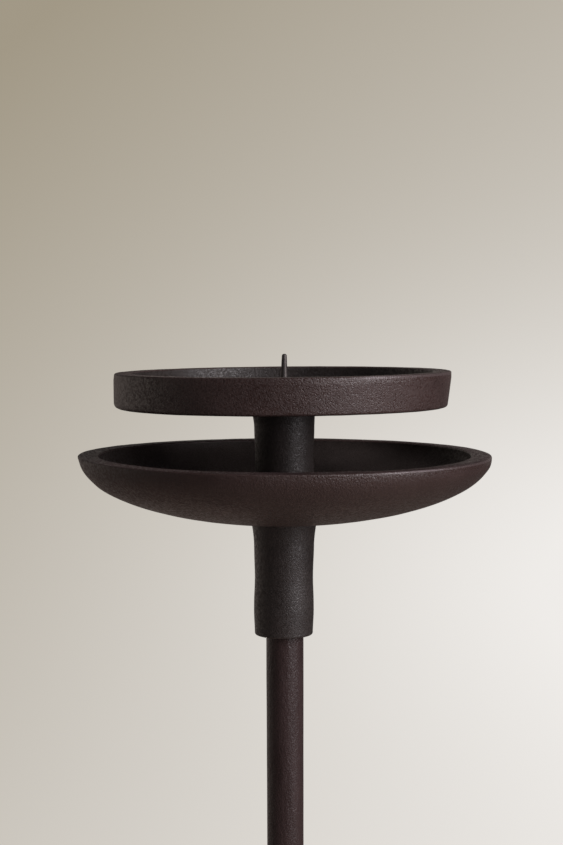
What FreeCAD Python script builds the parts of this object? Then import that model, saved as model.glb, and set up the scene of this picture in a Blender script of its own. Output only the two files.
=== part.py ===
import FreeCAD, Part

import math
import os

# A candle holder on a tripod, in millimetres, +Z up.
# The origin lies on the stem's axis at the level of the floor.

# Heights of the whole holder
rim_height = 600.0            # floor to the top of the candle plate's rim

# Clearances and the overrun of cuts
fit_gap = 0.15                # round a tube or tenon in its socket, per side
thread_gap = 0.1              # round a screwed or pressed piece, per side
pass_gap = 0.5                # round a rod or bolt in a drilled hole, per side
end_gap = 0.4                 # between the end of a screwed piece and its blind hole
overrun = 2.0                 # how far a cutting body reaches past the face it cuts

# Stem, a steel tube
stem_diameter = 16.6
stem_wall = 1.5

# Candle plate, a casting with a raised rim
plate_radius = 75.0           # outside, at the rim
plate_height = 15.7
plate_wall = 7.5              # width of the flat rim
plate_floor = 4.5
plate_outer_draft = 3.0       # degrees, narrower below
plate_inner_draft = 5.0       # degrees, narrower below
plate_foot_round = 2.3        # outside corner under the wall
plate_rim_round = 0.8         # both edges of the rim
plate_floor_fillet = 3.0      # inside corner at the floor

# Candle spike, a pin on a flange with a threaded barrel below
spike_length = 19.6           # floor of the plate to the tip
spike_base_diameter = 3.2
spike_tip_diameter = 1.6
spike_tip_round = 0.5
spike_flange_diameter = 22.0
spike_flange_thickness = 2.0
spike_barrel_wall = 2.0
spike_barrel_length = 16.0
spike_thread_depth = 13.0

# Tie rod that clamps plate, necks and bowl to the stem
rod_diameter = 8.0
rod_end_chamfer = 0.8
rod_engagement = 20.0         # in the insert at the stem's top

# Necks, cast sleeves
neck_wall = 4.65              # round the stem in the lower neck, at its waist
neck_swell = 0.4              # how much wider the swells are than the waist
neck_foot_swell_share = 0.23  # places of the swells and the waist, from foot to top
neck_waist_share = 0.5
neck_top_swell_share = 0.8
neck_edge_round = 0.9
upper_neck_flare = 1.2        # how much wider the top is than the waist
lower_neck_flare = 1.7
upper_neck_length = 44.1
upper_neck_core_gap = 2.0     # round the spike's barrel
lower_neck_length = 51.4
lower_neck_socket = 40.0      # depth of the socket for the stem
socket_chamfer = 0.8

# Drip bowl, a shallow casting with an elliptical section
bowl_radius = 91.9
bowl_height = 30.4            # underside to rim
bowl_rim_width = 9.3
bowl_floor = 7.1
bowl_outer_round = 0.8        # outside edge of the rim
bowl_inner_round = 0.9        # inside edge of the rim
bowl_seat_margin = 0.3        # flat seat beyond the neck's flare

# Threaded inserts in both ends of the stem
insert_length = 25.0
insert_chamfer = 0.6

# Hub that joins the stem and the legs
hub_web = 5.5                 # between the stem's socket and a leg's tenon
hub_lip = 1.3                 # hub above and below the bosses
hub_stem_socket = 38.0        # depth of the socket for the stem
hub_stem_seat = 8.0           # thickness under the stem's end
hub_cone_height = 13.0        # from the bosses' level up to the collar
hub_cone_round = 6.0
hub_collar_round = 10.0
hub_foot_round = 2.0
boss_lip = 3.0                # boss beyond the leg's root, per side
boss_projection = 5.0         # boss beyond the hub's wall
boss_edge_round = 1.5
boss_fillet = 3.0             # where a boss meets the hub's body

# Bolt and washer from below into the stem's lower insert
bolt_diameter = 8.0
bolt_length = 25.0
bolt_head_diameter = 13.0
bolt_head_height = 8.0
bolt_key = 6.0                # across the flats of the key's recess
bolt_key_depth = 4.0
bolt_recess = 1.0             # head below the hub's underside
washer_diameter = 16.0
washer_thickness = 1.6
washer_hole_gap = 0.2

# Legs, round tapering castings
leg_names = ("rear", "left", "right")
leg_first_angle = 90.0        # degrees, the rear leg's direction
leg_droop = 10.0              # degrees below level where a leg leaves the hub
leg_root_diameter = 16.0
leg_end_diameter = 11.0
leg_straight = 34.1           # from the boss to the start of the bend
leg_bend_radius = 95.0
leg_end_run = 8.0             # upright run between the bend and the foot
tenon_shoulder = 2.0
tenon_length = 14.0
tenon_chamfer = 1.0
foot_radius = 10.0
foot_edge = 2.5               # height of the foot's upright edge
foot_height = 7.0
foot_round = 0.8
foot_neck_share = 0.9         # foot's top as a share of the leg's end

# Set screws that hold the tenons
screw_diameter = 5.0
screw_length = 8.0
screw_bite = 1.7              # into the tenon
screw_key = 2.5               # across the flats of the key's recess
screw_key_depth = 2.5

# Foot pads
pad_radius = 8.0
pad_thickness = 3.0
pad_inset = 1.5               # part of the pad inside the foot
pad_round = 0.6

# Radii that follow from the sizes above
stem_radius = stem_diameter / 2
stem_bore_radius = stem_radius - stem_wall
stem_socket_radius = stem_radius + fit_gap
neck_waist_radius = stem_socket_radius + neck_wall
neck_radius = neck_waist_radius + neck_swell
rod_radius = rod_diameter / 2
rod_hole_radius = rod_radius + pass_gap
barrel_radius = rod_radius + thread_gap + spike_barrel_wall
flange_radius = spike_flange_diameter / 2
plate_inner_radius = plate_radius - plate_wall
bowl_inner_radius = bowl_radius - bowl_rim_width
bowl_seat_radius = neck_waist_radius + lower_neck_flare + bowl_seat_margin
leg_root_radius = leg_root_diameter / 2
leg_end_radius = leg_end_diameter / 2
tenon_radius = leg_root_radius - tenon_shoulder
boss_radius = leg_root_radius + boss_lip
boss_reach = stem_socket_radius + hub_web + end_gap + tenon_length
hub_radius = boss_reach - boss_projection

# Directions of a leg that points along +X: out of the hub, and square to that
droop = math.radians(leg_droop)
leg_out = FreeCAD.Vector(math.cos(droop), 0, -math.sin(droop))
leg_up = FreeCAD.Vector(math.sin(droop), 0, math.cos(droop))

# Heights that follow from the sizes above, from the floor up
foot_z = pad_thickness - pad_inset
bend_end_z = foot_z + foot_height + leg_end_run
hub_z = (bend_end_z + leg_bend_radius * math.cos(droop)
         + (boss_reach + leg_straight) * math.sin(droop))
hub_bottom_z = (hub_z - boss_reach * math.sin(droop)
                - boss_radius * math.cos(droop) - hub_lip)
hub_shoulder_z = hub_z + boss_radius + hub_lip
bolt_seat_z = hub_bottom_z + bolt_recess + bolt_head_height + washer_thickness
stem_bottom_z = bolt_seat_z + hub_stem_seat
hub_top_z = stem_bottom_z + hub_stem_socket

# Heights that follow from the sizes above, from the rim down
plate_bottom_z = rim_height - plate_height
plate_floor_z = plate_bottom_z + plate_floor
flange_seat_z = plate_floor_z - spike_flange_thickness
barrel_bottom_z = flange_seat_z - spike_barrel_length
bowl_floor_z = plate_bottom_z - upper_neck_length
bowl_bottom_z = bowl_floor_z - bowl_floor
bowl_rim_z = bowl_bottom_z + bowl_height
lower_neck_bottom_z = bowl_bottom_z - lower_neck_length
stem_top_z = lower_neck_bottom_z + lower_neck_socket

# Foot circle: where the upright end of a leg stands
foot_circle_radius = ((boss_reach + leg_straight) * math.cos(droop)
                      + leg_bend_radius * (1 - math.sin(droop)))


def point(radius, height):
    """A point of a section, in the plane through the axis and +X."""
    return FreeCAD.Vector(radius, 0, height)


def line(start, end):
    return Part.LineSegment(start, end).toShape()


def quarter_round(start, corner, end):
    """The arc that rounds a corner between two points at equal distance from it."""
    reach = (start - corner).Length
    inward = ((start - corner) + (end - corner)).normalize()
    half_angle = (start - corner).getAngle(end - corner) / 2
    centre_distance = reach / math.cos(half_angle)
    arc_radius = reach * math.tan(half_angle)
    middle = corner + inward * (centre_distance - arc_radius)
    return Part.Arc(start, middle, end).toShape()


def section_edges(corners):
    """Straight edges through corners of (radius, height, rounding), closed."""
    count = len(corners)
    spots = [point(radius, height) for radius, height, rounding in corners]
    ends = []
    for index, (radius, height, rounding) in enumerate(corners):
        spot = spots[index]
        before = (spots[index - 1] - spot).normalize()
        after = (spots[(index + 1) % count] - spot).normalize()
        trim = rounding / math.tan(before.getAngle(after) / 2) if rounding else 0
        ends.append((spot + before * trim, spot + after * trim))
    edges = []
    for index in range(count):
        if corners[index][2]:
            edges.append(quarter_round(ends[index][0], spots[index], ends[index][1]))
        edges.append(line(ends[index][1], ends[(index + 1) % count][0]))
    return edges


def turned(edges):
    """The solid that a closed section makes when it turns round the axis."""
    face = Part.Face(Part.Wire(Part.__sortEdges__(edges)))
    return face.revolve(FreeCAD.Vector(0, 0, 0), FreeCAD.Vector(0, 0, 1), 360)


def turned_piece(corners):
    return turned(section_edges(corners))


def rod_between(radius, bottom, top, chamfer=0):
    """A round bar on the axis, with both ends chamfered alike."""
    corners = [(0, bottom, 0), (radius - chamfer, bottom, 0)]
    if chamfer:
        corners.append((radius, bottom + chamfer, 0))
        corners.append((radius, top - chamfer, 0))
    corners += [(radius - chamfer, top, 0), (0, top, 0)]
    return turned_piece(corners)


def ring_between(inner, outer, bottom, top, chamfer=0):
    """A tube on the axis; the chamfer is on the outer edges of both ends."""
    corners = [(inner, bottom, 0), (outer - chamfer, bottom, 0)]
    if chamfer:
        corners.append((outer, bottom + chamfer, 0))
        corners.append((outer, top - chamfer, 0))
    corners += [(outer - chamfer, top, 0), (inner, top, 0)]
    return turned_piece(corners)


def hexagon_bar(across_flats, bottom, top):
    corner_radius = across_flats / math.sqrt(3)
    spots = []
    for index in range(6):
        angle = math.radians(60 * index)
        spots.append(FreeCAD.Vector(corner_radius * math.cos(angle),
                                    corner_radius * math.sin(angle), bottom))
    face = Part.Face(Part.makePolygon(spots + spots[:1]))
    return face.extrude(FreeCAD.Vector(0, 0, top - bottom))


def along(shape, origin, direction):
    """A shape made on the +Z axis, set at a place with its axis along a direction."""
    rotation = FreeCAD.Rotation(FreeCAD.Vector(0, 0, 1), direction)
    moved = shape.copy()
    moved.Placement = FreeCAD.Placement(origin, rotation)
    return moved


def round_legs(shape, index):
    """A shape of the leg that points along +X, turned to the leg of that number."""
    turn = leg_first_angle + index * 360 / len(leg_names)
    moved = shape.copy()
    moved.rotate(FreeCAD.Vector(0, 0, 0), FreeCAD.Vector(0, 0, 1), turn)
    return moved


def on_leg_axis(distance, offset=0):
    """A place at a distance from the hub's centre along a leg, and an offset up."""
    return point(0, hub_z) + leg_out * distance + leg_up * offset


def candle_plate():
    foot_radius_outside = plate_radius - plate_height * math.tan(math.radians(plate_outer_draft))
    depth = plate_height - plate_floor
    floor_radius = plate_inner_radius - depth * math.tan(math.radians(plate_inner_draft))
    hole_radius = barrel_radius + pass_gap
    seat_radius = flange_radius + fit_gap
    return turned_piece([
        (hole_radius, plate_bottom_z, 0),
        (foot_radius_outside, plate_bottom_z, plate_foot_round),
        (plate_radius, rim_height, plate_rim_round),
        (plate_inner_radius, rim_height, plate_rim_round),
        (floor_radius, plate_floor_z, plate_floor_fillet),
        (seat_radius, plate_floor_z, 0),
        (seat_radius, flange_seat_z, 0),
        (hole_radius, flange_seat_z, 0),
    ])


def candle_spike():
    thread_radius = rod_radius + thread_gap
    thread_top_z = barrel_bottom_z + spike_thread_depth
    return turned_piece([
        (0, thread_top_z, 0),
        (thread_radius, thread_top_z, 0),
        (thread_radius, barrel_bottom_z, 0),
        (barrel_radius, barrel_bottom_z, 0),
        (barrel_radius, flange_seat_z, 0),
        (flange_radius, flange_seat_z, 0),
        (flange_radius, plate_floor_z, 0),
        (spike_base_diameter / 2, plate_floor_z, 0),
        (spike_tip_diameter / 2, plate_floor_z + spike_length, spike_tip_round),
        (0, plate_floor_z + spike_length, 0),
    ])


def tie_rod():
    top = barrel_bottom_z + spike_thread_depth - end_gap
    return rod_between(rod_radius, stem_top_z - rod_engagement, top, rod_end_chamfer)


def neck(bottom, top, flare, inside):
    """A sleeve with a swelling side that flares at the top; inside runs from top to foot."""
    height = top - bottom
    foot = point(neck_waist_radius - neck_edge_round, bottom)
    side_start = point(neck_waist_radius, bottom + neck_edge_round)
    side_end = point(neck_waist_radius + flare, top)
    side = Part.BSplineCurve()
    side.interpolate([
        side_start,
        point(neck_radius, bottom + height * neck_foot_swell_share),
        point(neck_waist_radius, bottom + height * neck_waist_share),
        point(neck_radius, bottom + height * neck_top_swell_share),
        side_end,
    ])
    edges = [quarter_round(foot, point(neck_waist_radius, bottom), side_start), side.toShape()]
    spots = [side_end] + [point(radius, spot_z) for radius, spot_z in inside] + [foot]
    edges += [line(start, end) for start, end in zip(spots, spots[1:])]
    return turned(edges)


def upper_neck():
    bore_radius = barrel_radius + upper_neck_core_gap
    return neck(bowl_floor_z, plate_bottom_z, upper_neck_flare, [
        (bore_radius, plate_bottom_z),
        (bore_radius, bowl_floor_z),
    ])


def lower_neck():
    return neck(lower_neck_bottom_z, bowl_bottom_z, lower_neck_flare, [
        (rod_hole_radius, bowl_bottom_z),
        (rod_hole_radius, stem_top_z),
        (stem_socket_radius, stem_top_z),
        (stem_socket_radius, lower_neck_bottom_z + socket_chamfer),
        (stem_socket_radius + socket_chamfer, lower_neck_bottom_z),
    ])


def bowl_curve(radius, start_z, floor_z, seat_radius):
    """An ellipse's arc from an upright wall at a radius in to a flat seat."""
    seat_angle = math.acos(seat_radius / radius)
    depth = (start_z - floor_z) / math.sin(seat_angle)
    ellipse = Part.Ellipse(point(radius, start_z), point(0, start_z - depth), point(0, start_z))
    return Part.ArcOfEllipse(ellipse, 0, seat_angle).toShape()


def drip_bowl():
    outer_start_z = bowl_rim_z - bowl_outer_round
    inner_start_z = bowl_rim_z - bowl_inner_round
    inner_rim_radius = bowl_inner_radius + bowl_inner_round
    seat = bowl_seat_radius
    edges = [
        bowl_curve(bowl_radius, outer_start_z, bowl_bottom_z, seat),
        quarter_round(point(bowl_radius, outer_start_z), point(bowl_radius, bowl_rim_z),
                      point(bowl_radius - bowl_outer_round, bowl_rim_z)),
        line(point(bowl_radius - bowl_outer_round, bowl_rim_z),
             point(inner_rim_radius, bowl_rim_z)),
        quarter_round(point(inner_rim_radius, bowl_rim_z),
                      point(bowl_inner_radius, bowl_rim_z),
                      point(bowl_inner_radius, inner_start_z)),
        bowl_curve(bowl_inner_radius, inner_start_z, bowl_floor_z, seat),
        line(point(seat, bowl_floor_z), point(rod_hole_radius, bowl_floor_z)),
        line(point(rod_hole_radius, bowl_floor_z), point(rod_hole_radius, bowl_bottom_z)),
        line(point(rod_hole_radius, bowl_bottom_z), point(seat, bowl_bottom_z)),
    ]
    return turned(edges)


def stem():
    return ring_between(stem_bore_radius, stem_radius, stem_bottom_z, stem_top_z)


def stem_insert(thread_radius, bottom, top):
    return ring_between(thread_radius + thread_gap, stem_bore_radius - thread_gap,
                        bottom, top, insert_chamfer)


def meets_boss(hub, edge):
    """Whether an edge of the hub joins the side of a boss to the turned body."""
    surfaces = [face.Surface for face in hub.ancestorsOfType(edge, Part.Face)]
    boss_sides = [surface for surface in surfaces if isinstance(surface, Part.Cylinder)
                  and math.isclose(surface.Radius, boss_radius)]
    boss_ends = [surface for surface in surfaces if isinstance(surface, Part.Toroid)
                 and math.isclose(surface.MinorRadius, boss_edge_round)]
    return len(surfaces) == 2 and len(boss_sides) == 1 and not boss_ends


def hub_casting():
    """The hub before its holes: a turned body with a filleted boss for each leg."""
    body = turned_piece([
        (0, hub_bottom_z, 0),
        (hub_radius, hub_bottom_z, hub_foot_round),
        (hub_radius, hub_shoulder_z, hub_cone_round),
        (neck_radius, hub_shoulder_z + hub_cone_height, hub_collar_round),
        (neck_radius, hub_top_z, neck_edge_round),
        (0, hub_top_z, 0),
    ])
    boss = turned_piece([
        (0, 0, 0),
        (boss_radius, 0, 0),
        (boss_radius, boss_reach, boss_edge_round),
        (0, boss_reach, 0),
    ])
    bosses = [round_legs(along(boss, on_leg_axis(0), leg_out), index)
              for index in range(len(leg_names))]
    hub = body.fuse(bosses).removeSplitter().Solids[0]
    return hub.makeFillet(boss_fillet, [edge for edge in hub.Edges if meets_boss(hub, edge)])


def leg_holes():
    """A leg's socket and the hole of its set screw, for the leg along +X."""
    socket_start = boss_reach - tenon_length - end_gap
    socket = rod_between(tenon_radius + fit_gap, 0, boss_reach + overrun - socket_start)
    screw_hole = rod_between(screw_diameter / 2 + thread_gap, 0, hub_radius)
    return [along(socket, on_leg_axis(socket_start), leg_out),
            along(screw_hole, screw_place(), leg_up * -1)]


def tripod_hub():
    stem_socket = rod_between(stem_socket_radius, stem_bottom_z, hub_top_z + overrun)
    bolt_hole = rod_between(bolt_diameter / 2 + pass_gap, hub_bottom_z - overrun,
                            stem_bottom_z + overrun)
    head_hole = rod_between(washer_diameter / 2 + pass_gap, hub_bottom_z - overrun, bolt_seat_z)
    cuts = [stem_socket, bolt_hole, head_hole]
    for index in range(len(leg_names)):
        cuts += [round_legs(hole, index) for hole in leg_holes()]
    return hub_casting().cut(cuts)


def hub_washer():
    return ring_between(bolt_diameter / 2 + washer_hole_gap, washer_diameter / 2,
                        bolt_seat_z - washer_thickness, bolt_seat_z)


def hub_bolt():
    head_top_z = bolt_seat_z - washer_thickness
    head_bottom_z = head_top_z - bolt_head_height
    body = turned_piece([
        (0, head_bottom_z, 0),
        (bolt_head_diameter / 2, head_bottom_z, rod_end_chamfer),
        (bolt_head_diameter / 2, head_top_z, 0),
        (bolt_diameter / 2, head_top_z, 0),
        (bolt_diameter / 2, head_top_z + bolt_length - rod_end_chamfer, 0),
        (bolt_diameter / 2 - rod_end_chamfer, head_top_z + bolt_length, 0),
        (0, head_top_z + bolt_length, 0),
    ])
    return body.cut(hexagon_bar(bolt_key, head_bottom_z - overrun,
                                head_bottom_z + bolt_key_depth))


def leg_bar():
    """The tapering bar from the boss over the bend down into the foot."""
    start = on_leg_axis(boss_reach)
    bend_start = on_leg_axis(boss_reach + leg_straight)
    bend_centre = bend_start - leg_up * leg_bend_radius
    half_turn = (math.pi / 2 - droop) / 2
    bend_middle = bend_centre + point(math.cos(half_turn), math.sin(half_turn)) * leg_bend_radius
    bend_end = point(foot_circle_radius, bend_end_z)
    end = point(foot_circle_radius, foot_z + foot_edge)
    spine = Part.Wire([
        line(start, bend_start),
        Part.Arc(bend_start, bend_middle, bend_end).toShape(),
        line(bend_end, end),
    ])
    sweep = Part.BRepOffsetAPI.MakePipeShell(spine)
    sweep.setFrenetMode(True)
    sweep.add(Part.Wire(Part.makeCircle(leg_root_radius, start, leg_out)))
    sweep.add(Part.Wire(Part.makeCircle(leg_end_radius, end, FreeCAD.Vector(0, 0, -1))))
    sweep.build()
    sweep.makeSolid()
    return sweep.shape()


def leg_foot():
    """The round foot under a leg's upright end."""
    foot = turned_piece([
        (0, foot_z, 0),
        (foot_radius, foot_z, foot_round),
        (foot_radius, foot_z + foot_edge, foot_round),
        (leg_end_radius * foot_neck_share, foot_z + foot_height, 0),
        (0, foot_z + foot_height, 0),
    ])
    recess = rod_between(pad_radius + fit_gap, foot_z - overrun, pad_thickness)
    return along(foot.cut(recess), point(foot_circle_radius, 0), FreeCAD.Vector(0, 0, 1))


def screw_place():
    """Where a set screw's axis crosses the tenon's axis."""
    return on_leg_axis(boss_reach - tenon_length / 2)


def leg():
    tenon = turned_piece([
        (0, 0, 0),
        (tenon_radius - tenon_chamfer, 0, 0),
        (tenon_radius, tenon_chamfer, 0),
        (tenon_radius, tenon_length + leg_straight, 0),
        (0, tenon_length + leg_straight, 0),
    ])
    tenon = along(tenon, on_leg_axis(boss_reach - tenon_length), leg_out)
    dimple = rod_between(screw_diameter / 2 + thread_gap, tenon_radius - screw_bite - end_gap,
                         tenon_radius + overrun)
    dimple = along(dimple, screw_place(), leg_up * -1)
    return leg_bar().fuse([tenon, leg_foot()]).cut(dimple).removeSplitter()


def leg_screw():
    near_end = tenon_radius - screw_bite
    screw = rod_between(screw_diameter / 2, near_end, near_end + screw_length)
    key_recess = hexagon_bar(screw_key, near_end + screw_length - screw_key_depth,
                             near_end + screw_length + overrun)
    return along(screw.cut(key_recess), screw_place(), leg_up * -1)


def foot_pad():
    pad = turned_piece([
        (0, 0, 0),
        (pad_radius, 0, pad_round),
        (pad_radius, pad_thickness, 0),
        (0, pad_thickness, 0),
    ])
    return along(pad, point(foot_circle_radius, 0), FreeCAD.Vector(0, 0, 1))


def all_pieces():
    pieces = {
        "candle_spike": candle_spike(),
        "candle_plate": candle_plate(),
        "upper_neck": upper_neck(),
        "drip_bowl": drip_bowl(),
        "lower_neck": lower_neck(),
        "tie_rod": tie_rod(),
        "stem": stem(),
        "stem_top_insert": stem_insert(rod_radius, stem_top_z - insert_length, stem_top_z),
        "stem_bottom_insert": stem_insert(bolt_diameter / 2, stem_bottom_z,
                                          stem_bottom_z + insert_length),
        "tripod_hub": tripod_hub(),
        "hub_bolt": hub_bolt(),
        "hub_washer": hub_washer(),
    }
    for index, name in enumerate(leg_names):
        pieces["leg_" + name] = round_legs(leg(), index)
        pieces["leg_screw_" + name] = round_legs(leg_screw(), index)
        pieces["foot_pad_" + name] = round_legs(foot_pad(), index)
    return pieces


os.makedirs("parts", exist_ok=True)
for node, shape in all_pieces().items():
    shape.exportStep("parts/" + node + ".step")
    print(node, shape.ShapeType, len(shape.Solids), shape.isValid(), round(shape.Volume, 1))
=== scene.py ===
import math

import bmesh
import bpy
import numpy as np
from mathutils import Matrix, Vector, noise

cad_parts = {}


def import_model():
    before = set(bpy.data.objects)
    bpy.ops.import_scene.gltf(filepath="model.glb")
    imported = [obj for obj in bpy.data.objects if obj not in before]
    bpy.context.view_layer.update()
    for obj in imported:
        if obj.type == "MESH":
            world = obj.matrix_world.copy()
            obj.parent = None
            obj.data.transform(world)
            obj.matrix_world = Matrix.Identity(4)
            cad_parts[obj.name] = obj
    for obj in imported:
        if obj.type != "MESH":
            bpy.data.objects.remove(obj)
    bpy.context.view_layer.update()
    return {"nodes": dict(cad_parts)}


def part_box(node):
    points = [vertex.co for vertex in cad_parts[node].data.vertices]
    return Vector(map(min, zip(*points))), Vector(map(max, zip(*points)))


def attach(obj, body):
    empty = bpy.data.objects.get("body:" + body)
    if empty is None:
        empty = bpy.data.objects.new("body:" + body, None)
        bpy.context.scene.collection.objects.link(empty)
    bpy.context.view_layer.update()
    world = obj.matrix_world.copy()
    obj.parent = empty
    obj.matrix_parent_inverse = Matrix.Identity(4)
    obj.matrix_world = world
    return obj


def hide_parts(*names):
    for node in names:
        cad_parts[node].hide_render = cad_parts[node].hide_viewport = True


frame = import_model()

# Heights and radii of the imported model. All lengths here are in metres.
RIM_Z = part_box("candle_plate")[1].z
PLATE_BOTTOM_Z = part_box("candle_plate")[0].z
BOWL_BOTTOM_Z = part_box("drip_bowl")[0].z
BOWL_RIM_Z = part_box("drip_bowl")[1].z
BOWL_FLOOR_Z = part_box("upper_neck")[0].z
LOWER_NECK_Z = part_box("lower_neck")[0].z
STEM_BOTTOM_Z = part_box("stem")[0].z
STEM_TOP_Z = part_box("stem")[1].z
BARREL_BOTTOM_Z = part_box("candle_spike")[0].z
BOWL_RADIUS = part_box("drip_bowl")[1].x
STEM_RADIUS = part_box("stem")[1].x

# Candle plate's section
PLATE_RADIUS = 0.0750
PLATE_WALL = 0.0075
PLATE_FLOOR = 0.0045
PLATE_FOOT_INSET = 0.0008
PLATE_FOOT_ROUND = 0.0012
PLATE_WORN_ROUND = 0.0028
PLATE_SHOULDER = 0.0028
PLATE_SHOULDER_INSET = 0.00018
PLATE_EDGE_ROUND = 0.0008
PLATE_INNER_INSET = 0.0010
PLATE_INNER_ROUND = 0.0030
PLATE_HOLE_RADIUS = 0.0066
PLATE_SEAT_RADIUS = 0.01115
PLATE_SEAT_DEPTH = 0.0020

# Candle plate's unevenness
PLATE_WORN_SECTOR = math.radians(60)
PLATE_TILT_TOP = math.radians(0.30)
PLATE_TILT_BOTTOM = math.radians(0.20)
PLATE_STRETCH = 0.0018
PLATE_SHIFT = -0.0009
PLATE_LEAN_TOP = 0.0003
PLATE_LEAN_BOTTOM = -0.0007

# Spike
SPIKE_BELOW_TOP = 0.00045
SPIKE_BASE_RADIUS = 0.0020
SPIKE_BASE_ROUND = 0.0008
SPIKE_TIP_RADIUS = 0.0011
SPIKE_TIP_ROUND = 0.0009
SPIKE_FLANGE_RADIUS = 0.0110
SPIKE_FLANGE_ROUND = 0.0003
SPIKE_BARREL_RADIUS = 0.0061
SPIKE_END_RADIUS = 0.0002
SPIKE_SHIFT = -0.00018
SPIKE_LEAN = 0.00028
SPIKE_LEAN_RUN = 0.002

# Bowl's section
BOWL_RIM_WIDTH = 0.0093
BOWL_OUTER_ROUND = 0.0008
BOWL_INNER_ROUND = 0.0009
BOWL_ROUND_SHARE = 0.9
BOWL_JOIN = 0.0001
BOWL_SEAT_RADIUS = 0.0151
ROD_HOLE_RADIUS = 0.0045

# Bowl's unevenness: how much it sinks, stretches and draws in
BOWL_FRONT_SAG = 0.00095
BOWL_RIGHT_SAG = 0.0001
BOWL_INNER_SAG_LEFT = 0.00010
BOWL_INNER_SAG_RIGHT = 0.00060
BOWL_BELLY = 0.0002
BOWL_TIP_SAG = 0.0006
BOWL_LEFT_PINCH = 0.0005
BOWL_STRETCH = 1.003
BOWL_SHIFT = 0.0001

# Where it does so: (where a rise starts or a fall ends, its run), or a width
BOWL_OFF_AXIS = (0.015, 0.020)
BOWL_TIP_WIDTH = 0.0028
BOWL_WALL_WIDTH = 0.004
BOWL_BELLY_DEPTH = (0.0, 0.008)
BOWL_BELLY_WIDTH = 0.015
BOWL_PINCH_TOP = (0.0, 0.003)
BOWL_PINCH_FOOT = (0.020, 0.010)
BOWL_SHALLOW = (0.010, 0.008)
BOWL_AHEAD = (0.2, 0.4)
BOWL_SIDES_NEAR = (0.25, 0.2)
BOWL_SIDES_FAR = (1.0, 0.15)
BOWL_LEFT_TO_RIGHT = (-0.5, 1.0)
BOWL_HALF = (0.0, 1.0)

# Necks: the side's radii, and the shares of the height where it swells and narrows
NECK_WAIST_RADIUS = 0.0131
NECK_SWELL = 0.0004
NECK_EDGE_ROUND = 0.0009
NECK_FOOT_INSET = 0.0006
NECK_FOOT_SWELL = 0.23
NECK_WAIST = 0.5
NECK_TOP_SWELL = 0.8
NECK_FLARE_CURVE = 1.4
UPPER_NECK_FLARE = 0.0014
LOWER_NECK_FLARE = 0.0017
UPPER_BORE_RADIUS = 0.0081
SOCKET_RADIUS = 0.00845

# Necks' offset to the side: at the foot, more at the top, more at the flare
UPPER_NECK_OFFSET = (0.0, 0.0, -0.0008)
LOWER_NECK_OFFSET = (-0.00048, 0.00026, 0.0)

# Stem
STEM_BORE_RADIUS = 0.0068
STEM_SWELL = 0.00012
STEM_SWELL_RISE = (0.400, 0.080)

# How finely the pieces are meshed: steps round the axis or a corner, and gaps along a section
PLATE_COLUMNS = 700
BOWL_COLUMNS = 560
NECK_COLUMNS = 150
STEM_COLUMNS = 96
SPIKE_COLUMNS = 48
CORNER_STEPS = 8
ARC_SAMPLES = 4000
TIP_GAP = 0.0003
NECK_CORNER_GAP = 0.0005
NECK_SIDE_GAP = 0.0006
PLATE_SIDE_GAP = 0.0007
CLOSE_GAP = 0.0008
BOWL_TOP_GAP = 0.0009
FINE_GAP = 0.0010
MIDDLE_GAP = 0.0012
BOWL_INSIDE_GAP = 0.0017
WIDE_GAP = 0.0020
STEM_SIDE_GAP = 0.0022
FLAT_GAP = 0.0030
BARREL_GAP = 0.0040
BORE_GAP = 0.0200
VOXEL = 0.0006
SOFTENING_STEPS = 3
SOFTENING = 0.5

# Relief: layers of noise as (grain, height), the lift of the whole surface, and each seed
CAST_LAYERS = ((0.030, 0.00006), (0.011, 0.00005), (0.0050, 0.00003))
SPIKE_LAYERS = ((0.006, 0.00005), (0.0018, 0.00003))
STEM_LAYERS = ((0.030, 0.00003), (0.012, 0.00002))
BOWL_LIFT = -0.00005
SPIKE_LIFT = -0.00005
STEM_LIFT = -0.00002
SKIN_LIFT = -0.0001
SEEDS = {"candle_plate": 1, "drip_bowl": 3, "candle_spike": 5, "stem": 7, "upper_neck": 11,
         "lower_neck": 13, "tripod_hub": 17, "leg_rear": 19, "leg_left": 20, "leg_right": 21}
SEED_STEP = (3.17, 1.31, -1.0)
LAYER_STEP = (1.7, 0.0, 2.9)

# Radii where the relief starts and is full, and on a neck the waist's share and the ends' fade
PLATE_RELIEF_SPAN = (0.012, 0.020)
BOWL_RELIEF_SPAN = (0.015, 0.022)
NECK_RELIEF_SHARE = 0.9
NECK_RELIEF_FADE = 0.001

# Which faces are a dish's inside or a level rim, by where their normals point
INSIDE_LEAST_UP = -0.1
INSIDE_MOST_OUTWARD = 0.5
LEVEL_LEAST_UP = 0.9

# Cast metal: noise as (scale, detail, roughness), and its bumps' heights
CAST_PATCHES = (45.0, 3.0)
CAST_PEBBLES = (800.0, 2.0, 0.6)
CAST_GRAINS = (1400.0, 2.0, 0.6)
CAST_FINE = (2200.0, 2.0, 0.6)
PEBBLE_BUMP = 0.00014
GRAIN_BUMP = 0.00028
FINE_BUMP = 0.00012
MOTTLE_SPAN = (0.16, 0.34)
PIT_SPAN = (0.40, 0.60)
NOISE_MIDDLE = 0.5
GRAIN_IN_PITS = 0.6
WORN_PATCHES = (0.35, 0.6, 0.5, 1.0)

# Changes along x as (from, to, value before, value after), which are 0 and 1 if not given
SMOOTHER_SIDE = (-0.065, -0.020, 0.55, 1.0)
SMOOTHER_BOWL = (-0.065, -0.005, 0.42, 1.0)
ROUGHER_SIDE = (-0.080, -0.056, 0.14, 0.0)
PLATE_EVEN_TIP = (-0.072, -0.058, 0.25, 1.0)
BOWL_SMOOTH_ENDS = (0.066, 0.086, 0.0, 0.15)
# Right side only, towards the window: edges wear smoother there and carry the painted highlight
WEAR_AND_HIGHLIGHT_SIDE = (0.0, 0.025)
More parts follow.
